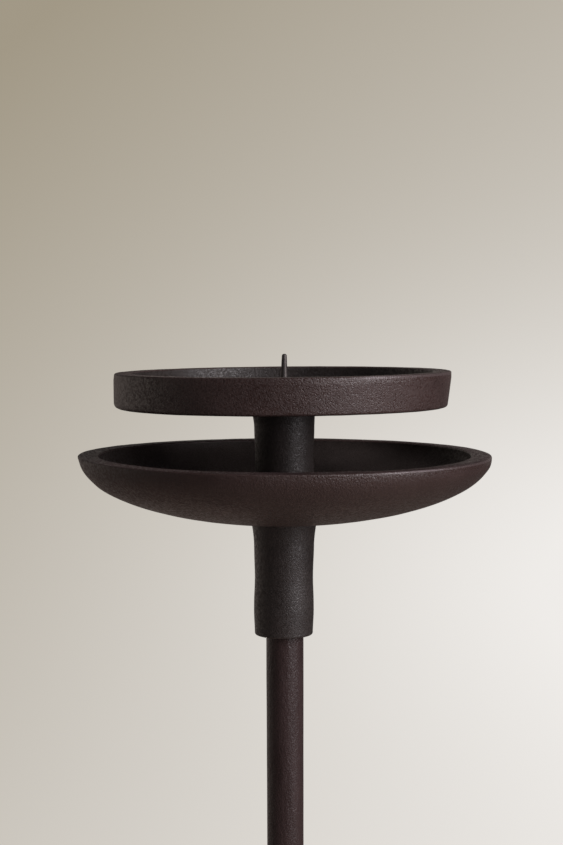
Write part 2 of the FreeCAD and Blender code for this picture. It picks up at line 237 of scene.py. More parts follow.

# Edges that wear, and edges with a painted highlight line: radius, height, reach across, reach
# down
PLATE_WORN_EDGE = (PLATE_RADIUS + 0.0002, RIM_Z - 0.0014, 0.0010, 0.0024)
BOWL_WORN_EDGE = (BOWL_RADIUS + 0.0002, BOWL_RIM_Z - 0.0013, 0.0010, 0.0022)
PLATE_HIGHLIGHT_EDGE = (PLATE_RADIUS, RIM_Z - 0.0002, 0.0012, 0.0010)
BOWL_HIGHLIGHT_EDGE = (BOWL_RADIUS, BOWL_RIM_Z - 0.0009, 0.0008, 0.0011)
EDGE_FADE = (1.0, 0.6, 0.0, 1.0, "SMOOTHSTEP")

# How much smoother a worn edge is, and where along x a painted highlight line starts and fades
PLATE_WEAR = 0.17
BOWL_WEAR = 0.26
PLATE_PAINTED_HIGHLIGHT = ((0.028, 0.035), (0.041, 0.050, 1.0, 0.3))
BOWL_PAINTED_HIGHLIGHT = ((0.034, 0.045), (0.058, 0.070, 1.0, 0.3))
# Light colour of the painted highlight line along the lit edges
PAINTED_HIGHLIGHT_COLOUR = (0.150, 0.120, 0.120)

# Cast metals: colours, roughness and how far it varies, the grain's height, gloss, and for the
# plate and bowl a painted highlight line along the rim
BROWN = dict(dark=(0.0425, 0.024, 0.0213), light=(0.0635, 0.039, 0.0353), roughness=0.44)
GREY = dict(dark=(0.028, 0.022, 0.020), light=(0.046, 0.037, 0.034), roughness=0.50,
            grain=0.7, patchy=0.14)
CAST_METALS = {
    "cast_brown": dict(BROWN, grain=0.9),
    "plate_brown": dict(BROWN, grain=1.0, gloss=0.48, patchy=0.20,
                        worn=(PLATE_WORN_EDGE, PLATE_WEAR),
                        painted_highlight=(PLATE_HIGHLIGHT_EDGE, *PLATE_PAINTED_HIGHLIGHT), even_tip=PLATE_EVEN_TIP),
    "bowl_brown": dict(dark=(0.0450, 0.0260, 0.0228), light=(0.0565, 0.0348, 0.0312),
                       roughness=0.44, grain=1.1, gloss=0.45, patchy=0.14,
                       worn=(BOWL_WORN_EDGE, BOWL_WEAR),
                       painted_highlight=(BOWL_HIGHLIGHT_EDGE, *BOWL_PAINTED_HIGHLIGHT), calm=SMOOTHER_BOWL),
    "cast_grey": GREY,
    "upper_grey": dict(GREY, gloss=0.43),
    "plate_inside": dict(dark=(0.019, 0.014, 0.012), light=(0.032, 0.024, 0.021),
                         roughness=0.50, grain=0.8, gloss=0.58),
    "bowl_inside": dict(dark=(0.035, 0.028, 0.025), light=(0.057, 0.046, 0.042),
                        roughness=0.50, grain=0.8, gloss=0.10),
    "bowl_rim": dict(dark=(0.036, 0.021, 0.020), light=(0.056, 0.034, 0.033),
                     roughness=0.55, grain=0.8, gloss=0.32, ends=BOWL_SMOOTH_ENDS),
}

# Stem's lacquer: noise as (scale, detail, roughness), stretched along the tube
STEM_PATCHES = (160.0, 3.0)
STEM_MARKS = (520.0, 2.0, 0.6)
STEM_FINE = (1400.0, 3.0, 0.6)
STEM_PATCH_STRETCH = (1.0, 1.0, 0.25)
STEM_MARK_STRETCH = (1.0, 1.0, 0.45)
STEM_PATCH_SPAN = (0.3, 0.7)
STEM_DARK = (0.036, 0.0213, 0.0203)
STEM_LIGHT = (0.052, 0.0323, 0.0313)
STEM_SHEEN = (0.4, 0.6, 0.31, 0.45)
STEM_GLOSS = 0.38
STEM_PATCH_BUMP = 0.00012
STEM_MARK_BUMP = 0.00032
STEM_FINE_BUMP = 0.00024

# Small parts: noise scale, colours, metal, roughness (or its span) and dents
SMALL_DETAIL = 3.0
SMALL_SPAN = (0.3, 0.7)
SMALL_FINISHES = {
    "dark_steel": dict(scale=900.0, dark=(0.055, 0.048, 0.045), light=(0.130, 0.115, 0.108),
                       metallic=0.6, sheen=(0.42, 0.56), dents=(0.0002, 0.4)),
    "zinc_steel": dict(scale=500.0, dark=(0.32, 0.32, 0.33), light=(0.48, 0.47, 0.45),
                       metallic=1.0, sheen=(0.28, 0.42)),
    "pad_rubber": dict(scale=1200.0, dark=(0.010, 0.010, 0.010), light=(0.022, 0.021, 0.020),
                       roughness=0.8, dents=(0.0003, 0.6)),
}
SMALL_PARTS = {"foot_pad": "pad_rubber", "leg_screw": "dark_steel", "hub_bolt": "dark_steel",
               "hub_washer": "zinc_steel", "tie_rod": "zinc_steel",
               "stem_top_insert": "zinc_steel", "stem_bottom_insert": "zinc_steel"}

# Floor: a round sheet whose edge fades into the wall
FLOOR_RADIUS = 1.15
FLOOR_FADE_START = 0.70
FLOOR_CORNERS = 128
FLOOR_LIT = (0.52, 0.42, 0.36)
FLOOR_SEEN = (0.88, 0.86, 0.83)
FLOOR_GLOW = (0.95, 0.92, 0.87, 1.0)
FLOOR_GLOW_SEEN = 0.16
FLOOR_ROUGHNESS = 0.9

# Wall as the camera sees it: colours, and its brightness across and up
WALL_DARK = (0.360, 0.316, 0.240)
WALL_LIGHT = (0.860, 0.837, 0.811)
WALL_ACROSS = (-0.2, 0.2)
WALL_UP = (-0.33, 0.2)
WALL_LEVEL = 0.317
WALL_GAIN_ACROSS = 0.997
WALL_LOSS_UP = 1.139
WALL_LOSS_BOTH = 0.658
GLOW_ACROSS = (0.2, 0.252)
GLOW_UP = (-0.132, 0.129)
GLOW_GAIN = 0.359

# Room as the object sees it: colours, and changes of its light as (from, to, before, after)
ROOM_DARK = (0.035, 0.037, 0.040)
ROOM_LIGHT = (0.56, 0.48, 0.43)
ROOM_AROUND = (0.28, 1.41)
ROOM_BELOW = (-0.35, -0.1, 0.4, 1.0)
ROOM_ABOVE = (0.08, 0.45, 1.0, 0.12)

# Lamps: place, target, width, height, power, colour
WINDOW = ((1.431, -1.059, 1.65), (0.0, 0.0, 1.65), 1.0, 2.40, 52.0, (1.0, 0.95, 0.98))
REAR_FILL = ((-0.3, 1.7, 0.13), (0.0, 0.0, 0.20), 1.4, 0.22, 20.0, (1.0, 0.94, 0.88))

# Camera, from the photograph's perspective
PHOTO_WIDTH = 563
PHOTO_HEIGHT = 845
FOCAL_PIXELS = 1671.0
SENSOR = 36.0
CAMERA_DISTANCE = 0.746
CAMERA_ABOVE_RIM = 0.0255
HORIZON_ROW = 314.3
AXIS_COLUMN = 284.0
ROLL = math.radians(0.16)
CLIP_START = 0.01


# Shape helpers

def smooth_step(share):
    share = np.clip(share, 0, 1)
    return share * share * (3 - 2 * share)


def rising(value, start, run):
    """Nothing up to the start, then a smooth rise to 1."""
    return smooth_step((value - start) / run)


def falling(value, end, run):
    """A smooth fall from 1 to nothing at the end."""
    return smooth_step((end - value) / run)


def swelling(share, stations, values):
    """A smooth run through values at stations, level at each of them."""
    place = np.clip(np.searchsorted(stations, share, side="right") - 1, 0, len(stations) - 2)
    starts, ends = np.take(stations, place), np.take(stations, place + 1)
    mix = smooth_step((share - starts) / (ends - starts))
    return np.take(values, place) * (1 - mix) + np.take(values, place + 1) * mix


def corner_arc(before, spot, after, rounding):
    """Where a rounded corner starts and ends, and its points."""
    before, after = before - spot, after - spot
    before = before / np.linalg.norm(before)
    after = after / np.linalg.norm(after)
    half = math.acos(max(-1, min(1, float(before @ after)))) / 2
    reach = rounding / math.tan(half)
    start, end = spot + before * reach, spot + after * reach
    middle = before + after
    centre = spot + middle / np.linalg.norm(middle) * (rounding / math.sin(half))
    turn = math.pi - 2 * half
    arc = []
    for step in range(CORNER_STEPS + 1):
        share = step / CORNER_STEPS
        mix = (start - centre) * math.sin((1 - share) * turn)
        mix = mix + (end - centre) * math.sin(share * turn)
        arc.append(centre + mix / math.sin(turn))
    return start, end, arc


def rounded(corners, closed):
    """Corners (radius, height, rounding, gap up to the next) as a fine polyline."""
    count = len(corners)
    spots = [np.array(corner[:2]) for corner in corners]
    ends = []
    for i, corner in enumerate(corners):
        at_end = not closed and i in (0, count - 1)
        if at_end or not corner[2]:
            ends.append((spots[i], spots[i], [spots[i]]))
        else:
            ends.append(corner_arc(spots[i - 1], spots[i], spots[(i + 1) % count], corner[2]))
    line = []
    for i, corner in enumerate(corners):
        line += ends[i][2]
        if not closed and i == count - 1:
            break
        start, end = ends[i][1], ends[(i + 1) % count][0]
        run = spots[(i + 1) % count] - spots[i]
        steps = max(1, round(float(np.linalg.norm(run)) / corner[3]))
        line += [start + (end - start) * (k / steps) for k in range(1, steps)]
    return np.array(line)


def ellipse_arc(radius, start_z, floor_z, gap):
    """From the upright wall at the radius in to the flat seat round the axis."""
    seat = math.acos(BOWL_SEAT_RADIUS / radius)
    depth = (start_z - floor_z) / math.sin(seat)
    angles = np.linspace(0, seat, ARC_SAMPLES)
    curve = np.stack([radius * np.cos(angles), start_z - depth * np.sin(angles)], axis=1)
    length = np.concatenate([[0], np.cumsum(np.hypot(*np.diff(curve, axis=0).T))])
    stops = np.linspace(0, length[-1], max(2, round(length[-1] / gap)))
    return np.stack([np.interp(stops, length, curve[:, 0]),
                     np.interp(stops, length, curve[:, 1])], axis=1)


def grid_mesh(name, rings, closed):
    """A mesh from rings of points; closed joins the last ring to the first."""
    rows, columns = rings.shape[:2]
    index = np.arange(rows * columns).reshape(rows, columns)
    last = rows if closed else rows - 1
    low = index[:last]
    high = np.roll(index, -1, axis=0)[:last]
    faces = np.stack([low, np.roll(low, -1, axis=1), np.roll(high, -1, axis=1), high], axis=-1)
    faces = [tuple(int(i) for i in face) for face in faces.reshape(-1, 4)]
    points = [tuple(point) for point in rings.reshape(-1, 3)]
    if not closed:
        for ring, turn in ((0, 1), (rows - 1, -1)):
            points.append(tuple(rings[ring].mean(axis=0)))
            hub = len(points) - 1
            for column in range(columns):
                pair = (int(index[ring, column]), int(index[ring, (column + 1) % columns]))
                faces.append((hub,) + pair[::-turn])
    mesh = bpy.data.meshes.new(name)
    mesh.from_pydata(points, [], faces)
    mesh.update()
    face_outwards(mesh)
    mesh.shade_smooth()
    return linked(name, mesh)


def face_outwards(mesh):
    """Turns all faces to the outside."""
    tidy = bmesh.new()
    tidy.from_mesh(mesh)
    bmesh.ops.recalc_face_normals(tidy, faces=tidy.faces)
    tidy.to_mesh(mesh)
    tidy.free()


def linked(name, data):
    """A new object in the scene."""
    made = bpy.data.objects.new(name, data)
    bpy.context.scene.collection.objects.link(made)
    return made


def lathe(name, line, columns, closed):
    """Turns a polyline of (radius, height) round the axis."""
    angles = np.arange(columns) * (2 * math.pi / columns)
    rings = np.empty((len(line), columns, 3))
    rings[:, :, 0] = line[:, 0, None] * np.cos(angles)
    rings[:, :, 1] = line[:, 0, None] * np.sin(angles)
    rings[:, :, 2] = line[:, 1, None]
    return grid_mesh(name, rings, closed)


def read(items, name):
    """A vector of each vertex, normal or face, one row each."""
    found = np.empty(len(items) * 3)
    items.foreach_get(name, found)
    return found.reshape(-1, 3)


def coordinates(piece):
    return read(piece.data.vertices, "co")


def put(piece, points):
    """Moves a piece's vertices to the points."""
    piece.data.vertices.foreach_set("co", points.ravel())
    piece.data.update()


def from_axis(points):
    """Each point's distance from the upright axis."""
    return np.hypot(points[:, 0], points[:, 1])


def relief(piece, layers, seed, lift=0.0, mask=None):
    """Moves the surface along its normals by layers of noise: (grain, height)."""
    points, outward = coordinates(piece), read(piece.data.vertex_normals, "vector")
    height = np.full(len(points), lift)
    for number, (grain, depth) in enumerate(layers):
        offset = Vector([seed * by_seed + number * by_layer
                         for by_seed, by_layer in zip(SEED_STEP, LAYER_STEP)])
        scale = 1.0 / grain
        values = [noise.noise(Vector(point) * scale + offset) for point in points]
        height += depth * np.array(values)
    if mask is not None:
        height *= mask(points)
    put(piece, points + outward * height[:, None])


def away_from_axis(near, far):
    """No relief near the axis, where pieces seat on each other, all of it beyond."""
    def share(points):
        return np.clip((from_axis(points) - near) / (far - near), 0, 1)
    return share


def inside_span(bottom, top, radius):
    """Relief outside the radius only, fading out at the ends that a neck seats on."""
    def share(points):
        near_end = np.minimum(points[:, 2] - bottom, top - points[:, 2])
        return np.clip(near_end / NECK_RELIEF_FADE, 0, 1) * (from_axis(points) > radius)
    return share


def inner_faces(piece, radius):
    """Marks the faces inside a dish."""
    faces = piece.data.polygons
    centres, facing = read(faces, "center"), read(faces, "normal")
    reach = from_axis(centres)
    outwards = (facing[:, :2] * centres[:, :2]).sum(axis=1) / reach
    marks = (reach < radius) & (facing[:, 2] > INSIDE_LEAST_UP) & (outwards < INSIDE_MOST_OUTWARD)
    return marks.astype(np.int32)


def level_faces(piece, radius):
    """Marks the faces of a flat rim's top."""
    marks = [face.normal.z > LEVEL_LEAST_UP and math.hypot(*face.center[:2]) >= radius
             for face in piece.data.polygons]
    return np.array(marks, dtype=np.int32)


def finish_piece(piece, materials, slot, *nodes):
    """Gives a piece its materials and its body, and hides the nodes that it stands for; the slot
    is not used.
    """
    piece.data.materials.clear()
    for material in materials:
        piece.data.materials.append(material)
    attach(piece, "root")
    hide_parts(*nodes)


# Material helpers

def shader(name):
    """A new material, its node tree and its surface node."""
    material = bpy.data.materials.new(name)
    material.use_nodes = True
    tree = material.node_tree
    return material, tree, tree.nodes["Principled BSDF"]


def node(tree, kind, inputs=None, **settings):
    """A new node with its inputs linked or set."""
    made = tree.nodes.new(kind)
    for key, value in settings.items():
        setattr(made, key, value)
    for key, value in (inputs or {}).items():
        give(tree, made.inputs[key], value)
    return made


def give(tree, socket, value):
    """Links a socket to another node's output, or sets its value."""
    if isinstance(value, bpy.types.NodeSocket):
        tree.links.new(value, socket)
    else:
        socket.default_value = value


def sums(tree, operation, *values):
    """The result of one sum."""
    return node(tree, "ShaderNodeMath", dict(enumerate(values)), operation=operation).outputs[0]


def squared(tree, value, middle, width):
    """((value - middle) / width) squared."""
    off = sums(tree, "DIVIDE", sums(tree, "SUBTRACT", value, middle), width)
    return sums(tree, "MULTIPLY", off, off)


def spread(tree, value, low, high, to_low=0.0, to_high=1.0, easing="LINEAR"):
    """Carries a value from the span (low, high) over to the span (to_low, to_high)."""
    found = node(tree, "ShaderNodeMapRange", {"Value": value, "From Min": low, "From Max": high,
                                              "To Min": to_low, "To Max": to_high},
                 interpolation_type=easing)
    return found.outputs["Result"]


def kept_within(tree, value, low, high):
    return spread(tree, value, low, high, low, high)


def place_on(tree):
    return node(tree, "ShaderNodeTexCoord").outputs["Object"]


def axes_of(tree, place):
    return node(tree, "ShaderNodeSeparateXYZ", {0: place}).outputs


def stretched(tree, place, scale):
    return node(tree, "ShaderNodeMapping", {"Vector": place, "Scale": scale}).outputs["Vector"]


def length_of(tree, place):
    return node(tree, "ShaderNodeVectorMath", {0: place}, operation="LENGTH").outputs["Value"]


def noise_at(tree, place, scale, detail, rough=0.5):
    found = node(tree, "ShaderNodeTexNoise", {"Vector": place, "Scale": scale, "Detail": detail,
                                              "Roughness": rough})
    return found.outputs["Fac"]


def blend_colour(tree, factor, first, second):
    found = tree.nodes.new("ShaderNodeMix")
    found.data_type = "RGBA"
    tree.links.new(factor, found.inputs[0])
    for socket, value in ((found.inputs[6], first), (found.inputs[7], second)):
        give(tree, socket, (*value, 1.0) if isinstance(value, tuple) else value)
    return found.outputs[2]


def bump(tree, height, distance, strength, below=None):
    inputs = {"Height": height, "Distance": distance, "Strength": strength}
    if below is not None:
        inputs["Normal"] = below
    return node(tree, "ShaderNodeBump", inputs).outputs["Normal"]


def near_edge(tree, place, radius, height, across_reach, height_reach):
    """From 1 on a turned edge's right side to 0 at its reach."""
    flat = node(tree, "ShaderNodeVectorMath", {0: place, 1: (1, 1, 0)}, operation="MULTIPLY")
    across = length_of(tree, flat.outputs[0])
    axes = axes_of(tree, place)
    away = sums(tree, "ADD", squared(tree, across, radius, across_reach),
                squared(tree, axes["Z"], height, height_reach))
    near = spread(tree, away, *EDGE_FADE)
    return sums(tree, "MULTIPLY", near, spread(tree, axes["X"], *WEAR_AND_HIGHLIGHT_SIDE))


# Materials

def cast_metal(name, dark, light, roughness, grain, gloss=0.5, patchy=0.18, calm=SMOOTHER_SIDE,
               worn=None, ends=None, painted_highlight=None, even_tip=None):
    """Lacquered sand casting: pitted grain, uneven colour and sheen, and a painted highlight line
    on an edge if given.
    """
    material, tree, surface = shader(name)
    place = place_on(tree)
    side = axes_of(tree, place)["X"]
    patches = noise_at(tree, place, *CAST_PATCHES)
    pebbles = noise_at(tree, place, *CAST_PEBBLES)
    grains = noise_at(tree, place, *CAST_GRAINS)
    fine = noise_at(tree, place, *CAST_FINE)
    colour = cast_colour(tree, place, side, sums(tree, "MULTIPLY", patches, grains),
                         dark, light, painted_highlight)
    sheen = cast_sheen(tree, side, pebbles, grains, roughness, patchy, even_tip)
    if worn:
        sheen = worn_sheen(tree, place, patches, sheen, *worn)
    if ends:
        smoother = spread(tree, sums(tree, "ABSOLUTE", side), *ends)
        sheen = sums(tree, "SUBTRACT", sheen, smoother)
    strength = spread(tree, side, *calm)
    normal = bump(tree, pebbles, PEBBLE_BUMP * grain, strength)
    normal = bump(tree, grains, GRAIN_BUMP * grain, strength, normal)
    normal = bump(tree, fine, FINE_BUMP * grain, strength, normal)
    give(tree, surface.inputs["Base Color"], colour)
    give(tree, surface.inputs["Roughness"], sheen)
    give(tree, surface.inputs["Specular IOR Level"], gloss)
    give(tree, surface.inputs["Normal"], normal)
    return material


def cast_colour(tree, place, side, mottle, dark, light, painted_highlight):
    """Mottled, with a painted highlight: lighter along an edge on the lit side."""
    colour = blend_colour(tree, spread(tree, mottle, *MOTTLE_SPAN), dark, light)
    if not painted_highlight:
        return colour
    # Painted highlight: a light line along the edge where the window's glint falls
    edge, start, fade = painted_highlight
    along = sums(tree, "MULTIPLY", spread(tree, side, *start), spread(tree, side, *fade))
    line = sums(tree, "MULTIPLY", near_edge(tree, place, *edge), along)
    return blend_colour(tree, line, colour, PAINTED_HIGHLIGHT_COLOUR)


def cast_sheen(tree, side, pebbles, grains, roughness, patchy, even_tip):
    """Varies with the pits, less at an even tip, and is rougher on the left."""
    pits = sums(tree, "SUBTRACT", grains, NOISE_MIDDLE)
    pits = sums(tree, "MULTIPLY_ADD", pits, GRAIN_IN_PITS, pebbles)
    sheen = spread(tree, pits, *PIT_SPAN, -patchy, patchy)
    if even_tip:
        sheen = sums(tree, "MULTIPLY", sheen, spread(tree, side, *even_tip))
    sheen = sums(tree, "ADD", sheen, roughness)
    return sums(tree, "ADD", sheen, spread(tree, side, *ROUGHER_SIDE))


def worn_sheen(tree, place, patches, sheen, edge, smoother):
    """Smoother in patches along a worn edge."""
    wear = sums(tree, "MULTIPLY", near_edge(tree, place, *edge),
                spread(tree, patches, *WORN_PATCHES))
    return sums(tree, "SUBTRACT", sheen, sums(tree, "MULTIPLY", wear, smoother))


def lacquered_tube():
    """Smooth brown lacquer on a drawn tube, faintly uneven along its length."""
    material, tree, surface = shader("stem_lacquer")
    place = place_on(tree)
    patches = noise_at(tree, stretched(tree, place, STEM_PATCH_STRETCH), *STEM_PATCHES)
    marks = noise_at(tree, stretched(tree, place, STEM_MARK_STRETCH), *STEM_MARKS)
    fine = noise_at(tree, place, *STEM_FINE)
    colour = blend_colour(tree, spread(tree, patches, *STEM_PATCH_SPAN), STEM_DARK, STEM_LIGHT)
    normal = bump(tree, patches, STEM_PATCH_BUMP, 1.0)
    normal = bump(tree, marks, STEM_MARK_BUMP, 1.0, normal)
    normal = bump(tree, fine, STEM_FINE_BUMP, 1.0, normal)
    give(tree, surface.inputs["Base Color"], colour)
    give(tree, surface.inputs["Roughness"], spread(tree, fine, *STEM_SHEEN))
    give(tree, surface.inputs["Specular IOR Level"], STEM_GLOSS)
    give(tree, surface.inputs["Normal"], normal)
    return material


def small_part(name, scale, dark, light, metallic=0.0, sheen=None, roughness=None, dents=None):
    """Steel or rubber with an uneven colour and sheen, and fine dents."""
    material, tree, surface = shader(name)
    grains = noise_at(tree, place_on(tree), scale, SMALL_DETAIL)
    if sheen:
        roughness = spread(tree, grains, *SMALL_SPAN, *sheen)
    give(tree, surface.inputs["Base Color"], blend_colour(tree, grains, dark, light))
    give(tree, surface.inputs["Metallic"], metallic)
    give(tree, surface.inputs["Roughness"], roughness)
    if dents:
        give(tree, surface.inputs["Normal"], bump(tree, grains, *dents))
    return material


# Pieces

def plate_section(foot_round):
    floor_z = PLATE_BOTTOM_Z + PLATE_FLOOR
    seat_z = floor_z - PLATE_SEAT_DEPTH
    inner = PLATE_RADIUS - PLATE_WALL
    return rounded([
        (PLATE_HOLE_RADIUS, PLATE_BOTTOM_Z, 0, FLAT_GAP),
        (PLATE_RADIUS - PLATE_FOOT_INSET, PLATE_BOTTOM_Z, foot_round, PLATE_SIDE_GAP),
        (PLATE_RADIUS, RIM_Z - PLATE_SHOULDER, PLATE_EDGE_ROUND, PLATE_SIDE_GAP),
        (PLATE_RADIUS - PLATE_SHOULDER_INSET, RIM_Z, PLATE_EDGE_ROUND, CLOSE_GAP),
        (inner, RIM_Z, PLATE_EDGE_ROUND, MIDDLE_GAP),
        (inner - PLATE_INNER_INSET, floor_z, PLATE_INNER_ROUND, FLAT_GAP),
        (PLATE_SEAT_RADIUS, floor_z, 0, FINE_GAP),
        (PLATE_SEAT_RADIUS, seat_z, 0, WIDE_GAP),
        (PLATE_HOLE_RADIUS, seat_z, 0, FINE_GAP),
    ], True)


def wear_foot(plate):
    """Rounds the foot off more towards the left."""
    points = coordinates(plate)
    change = plate_section(PLATE_WORN_ROUND) - plate_section(PLATE_FOOT_ROUND)
    change = np.repeat(change, PLATE_COLUMNS, axis=0)
    angles = np.arctan2(points[:, 1], -points[:, 0])
    share = falling(np.abs(angles), PLATE_WORN_SECTOR, PLATE_WORN_SECTOR / 2)
    points[:, 0] -= np.cos(angles) * change[:, 0] * share
    points[:, 1] += np.sin(angles) * change[:, 0] * share
    points[:, 2] += change[:, 1] * share
    put(plate, points)


def warp_plate(plate):
    """Tilts, leans and stretches the casting a little."""
    points = coordinates(plate)
    depth = (RIM_Z - points[:, 2]) / (RIM_Z - PLATE_BOTTOM_Z)
    reach = np.clip(from_axis(points) / PLATE_RADIUS, 0, 1)
    tilt = math.tan(PLATE_TILT_TOP) * (1 - depth) + math.tan(PLATE_TILT_BOTTOM) * depth
    points[:, 0] += (PLATE_SHIFT + PLATE_LEAN_TOP
                     + (PLATE_LEAN_BOTTOM - PLATE_LEAN_TOP) * depth * reach)
    points[:, 2] += points[:, 0] * tilt
    points[:, 0] *= 1 + PLATE_STRETCH * (1 - depth)
    put(plate, points)


def candle_plate(outside, inside):
    plate = lathe("candle_plate_casting", plate_section(PLATE_FOOT_ROUND), PLATE_COLUMNS, True)
    hollow = inner_faces(plate, PLATE_RADIUS - PLATE_WALL)
    wear_foot(plate)
    relief(plate, CAST_LAYERS, SEEDS["candle_plate"], mask=away_from_axis(*PLATE_RELIEF_SPAN))
    warp_plate(plate)
    finish_piece(plate, [outside, inside], "cast_brown", "candle_plate")
    plate.data.polygons.foreach_set("material_index", hollow)


def candle_spike(material):
    floor_z = PLATE_BOTTOM_Z + PLATE_FLOOR
    seat_z = floor_z - PLATE_SEAT_DEPTH
    tip_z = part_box("candle_spike")[1].z - SPIKE_BELOW_TOP
    line = rounded([
        (SPIKE_END_RADIUS, BARREL_BOTTOM_Z, 0, FINE_GAP),
        (SPIKE_BARREL_RADIUS, BARREL_BOTTOM_Z, 0, BARREL_GAP),
        (SPIKE_BARREL_RADIUS, seat_z, 0, WIDE_GAP),
        (SPIKE_FLANGE_RADIUS, seat_z, 0, FINE_GAP),
        (SPIKE_FLANGE_RADIUS, floor_z, SPIKE_FLANGE_ROUND, MIDDLE_GAP),
        (SPIKE_BASE_RADIUS, floor_z, SPIKE_BASE_ROUND, CLOSE_GAP),
        (SPIKE_TIP_RADIUS, tip_z, SPIKE_TIP_ROUND, TIP_GAP),
        (SPIKE_END_RADIUS, tip_z, 0, TIP_GAP),
    ], False)
    spike = lathe("candle_spike_pin", line, SPIKE_COLUMNS, False)
    relief(spike, SPIKE_LAYERS, SEEDS["candle_spike"], lift=SPIKE_LIFT)
    points = coordinates(spike)
    rise = (points[:, 2] - floor_z) / (tip_z - floor_z)
    points[:, 0] += ((SPIKE_SHIFT + SPIKE_LEAN * rise)
                     * rising(points[:, 2], floor_z, SPIKE_LEAN_RUN))
    put(spike, points)
    finish_piece(spike, [material], "dark_steel", "candle_spike")


def bowl_section(inner):
    outer_start = BOWL_RIM_Z - BOWL_OUTER_ROUND
    inner_start = BOWL_RIM_Z - BOWL_INNER_ROUND
    outside = ellipse_arc(BOWL_RADIUS, outer_start, BOWL_BOTTOM_Z, FINE_GAP)
    inside = ellipse_arc(inner, inner_start, BOWL_FLOOR_Z, BOWL_INSIDE_GAP)
    rim = rounded([
        (BOWL_RADIUS, outer_start - BOWL_JOIN, 0, FINE_GAP),
        (BOWL_RADIUS, BOWL_RIM_Z, BOWL_OUTER_ROUND * BOWL_ROUND_SHARE, BOWL_TOP_GAP),
        (inner, BOWL_RIM_Z, BOWL_INNER_ROUND * BOWL_ROUND_SHARE, FINE_GAP),
        (inner, inner_start - BOWL_JOIN, 0, FINE_GAP),
    ], False)
    hole = [(ROD_HOLE_RADIUS, BOWL_FLOOR_Z), (ROD_HOLE_RADIUS, BOWL_BOTTOM_Z)]
    return np.concatenate([outside[::-1], rim[1:-1], inside, np.array(hole)])


def bowl_sag(reach, across, along, depth):
    """How far the casting sinks at its front, belly and right, and inside its rim."""
    rightwards = rising(across, *BOWL_LEFT_TO_RIGHT)
    belly = rising(depth, *BOWL_BELLY_DEPTH) * falling(reach, BOWL_RADIUS, BOWL_BELLY_WIDTH)
    shallow = falling(depth, *BOWL_SHALLOW)
    ahead = falling(along, *BOWL_AHEAD)
    inward = falling(reach, BOWL_RADIUS, BOWL_RIM_WIDTH)
    sides = rising(np.abs(across), *BOWL_SIDES_NEAR) * falling(np.abs(across), *BOWL_SIDES_FAR)
    sag = BOWL_FRONT_SAG * np.clip(-along, 0, 1) ** 2
    sag += BOWL_BELLY * belly * (1 - rightwards)
    sag += BOWL_RIGHT_SAG * ahead * rising(across, *BOWL_HALF) * shallow
    inner_sag = BOWL_INNER_SAG_LEFT + (BOWL_INNER_SAG_RIGHT - BOWL_INNER_SAG_LEFT) * rightwards
    sag += inner_sag * ahead * sides * inward * shallow
    return sag


def warp_bowl(bowl, inner):
    """The casting's own unevenness: it sags, its right tip sinks, its left wall draws in."""
    points = coordinates(bowl)
    reach = from_axis(points)
    across, along = points[:, 0] / BOWL_RADIUS, points[:, 1] / BOWL_RADIUS
    depth = BOWL_RIM_Z - points[:, 2]
    right, left = rising(across, *BOWL_HALF), falling(across, *BOWL_HALF)
    off_axis = rising(reach, *BOWL_OFF_AXIS)
    tip = rising(reach, BOWL_RADIUS - BOWL_TIP_WIDTH, BOWL_TIP_WIDTH)
    wall = rising(reach, inner, BOWL_WALL_WIDTH)
    pinch = rising(depth, *BOWL_PINCH_TOP) * falling(depth, *BOWL_PINCH_FOOT) * wall
    sag = bowl_sag(reach, across, along, depth)
    points[:, 2] -= sag * off_axis + BOWL_TIP_SAG * tip * right
    points[:, 0] *= BOWL_STRETCH
    points[:, 0] += (BOWL_SHIFT + BOWL_LEFT_PINCH * pinch * left) * off_axis
    put(bowl, points)


def drip_bowl(outside, inside, rim):
    inner = BOWL_RADIUS - BOWL_RIM_WIDTH
    bowl = lathe("drip_bowl_casting", bowl_section(inner), BOWL_COLUMNS, True)
    areas = inner_faces(bowl, inner) + 2 * level_faces(bowl, inner)
    relief(bowl, CAST_LAYERS, SEEDS["drip_bowl"], lift=BOWL_LIFT,
           mask=away_from_axis(*BOWL_RELIEF_SPAN))
    warp_bowl(bowl, inner)
    finish_piece(bowl, [outside, inside, rim], "cast_brown", "drip_bowl")
    bowl.data.polygons.foreach_set("material_index", areas)


def flaring(share):
    """How far up the flare a share of the neck's height is."""
    return np.clip((share - NECK_TOP_SWELL) / (1 - NECK_TOP_SWELL), 0, 1)


def neck_section(bottom, top, flare, bore):
    """A swelling side that flares at the top; the bore runs from top to foot."""
    height = top - bottom
    foot = NECK_WAIST_RADIUS - NECK_EDGE_ROUND - NECK_FOOT_INSET
    corner_top = 2 * NECK_EDGE_ROUND
    corner = rounded([(foot, bottom, 0, NECK_CORNER_GAP),
                      (NECK_WAIST_RADIUS, bottom, NECK_EDGE_ROUND, NECK_CORNER_GAP),
                      (NECK_WAIST_RADIUS, bottom + corner_top, 0, NECK_CORNER_GAP)], False)
    share = np.linspace(corner_top / height, 1, round(height / NECK_SIDE_GAP))[1:]
    stations = (0, NECK_FOOT_SWELL, NECK_WAIST, NECK_TOP_SWELL, 1)
    side = NECK_WAIST_RADIUS + NECK_SWELL * swelling(share, stations, (0, 1, 0, 1, 1))
    side += (flare - NECK_SWELL) * flaring(share) ** NECK_FLARE_CURVE
    inside = rounded([(side[-1], top, 0, FLAT_GAP)]
                     + [(radius, spot, 0, FLAT_GAP) for radius, spot in bore]
                     + [(foot, bottom, 0, FLAT_GAP)], False)
    return np.concatenate([corner, np.stack([side, bottom + height * share], axis=1),
                           inside[1:-1]])


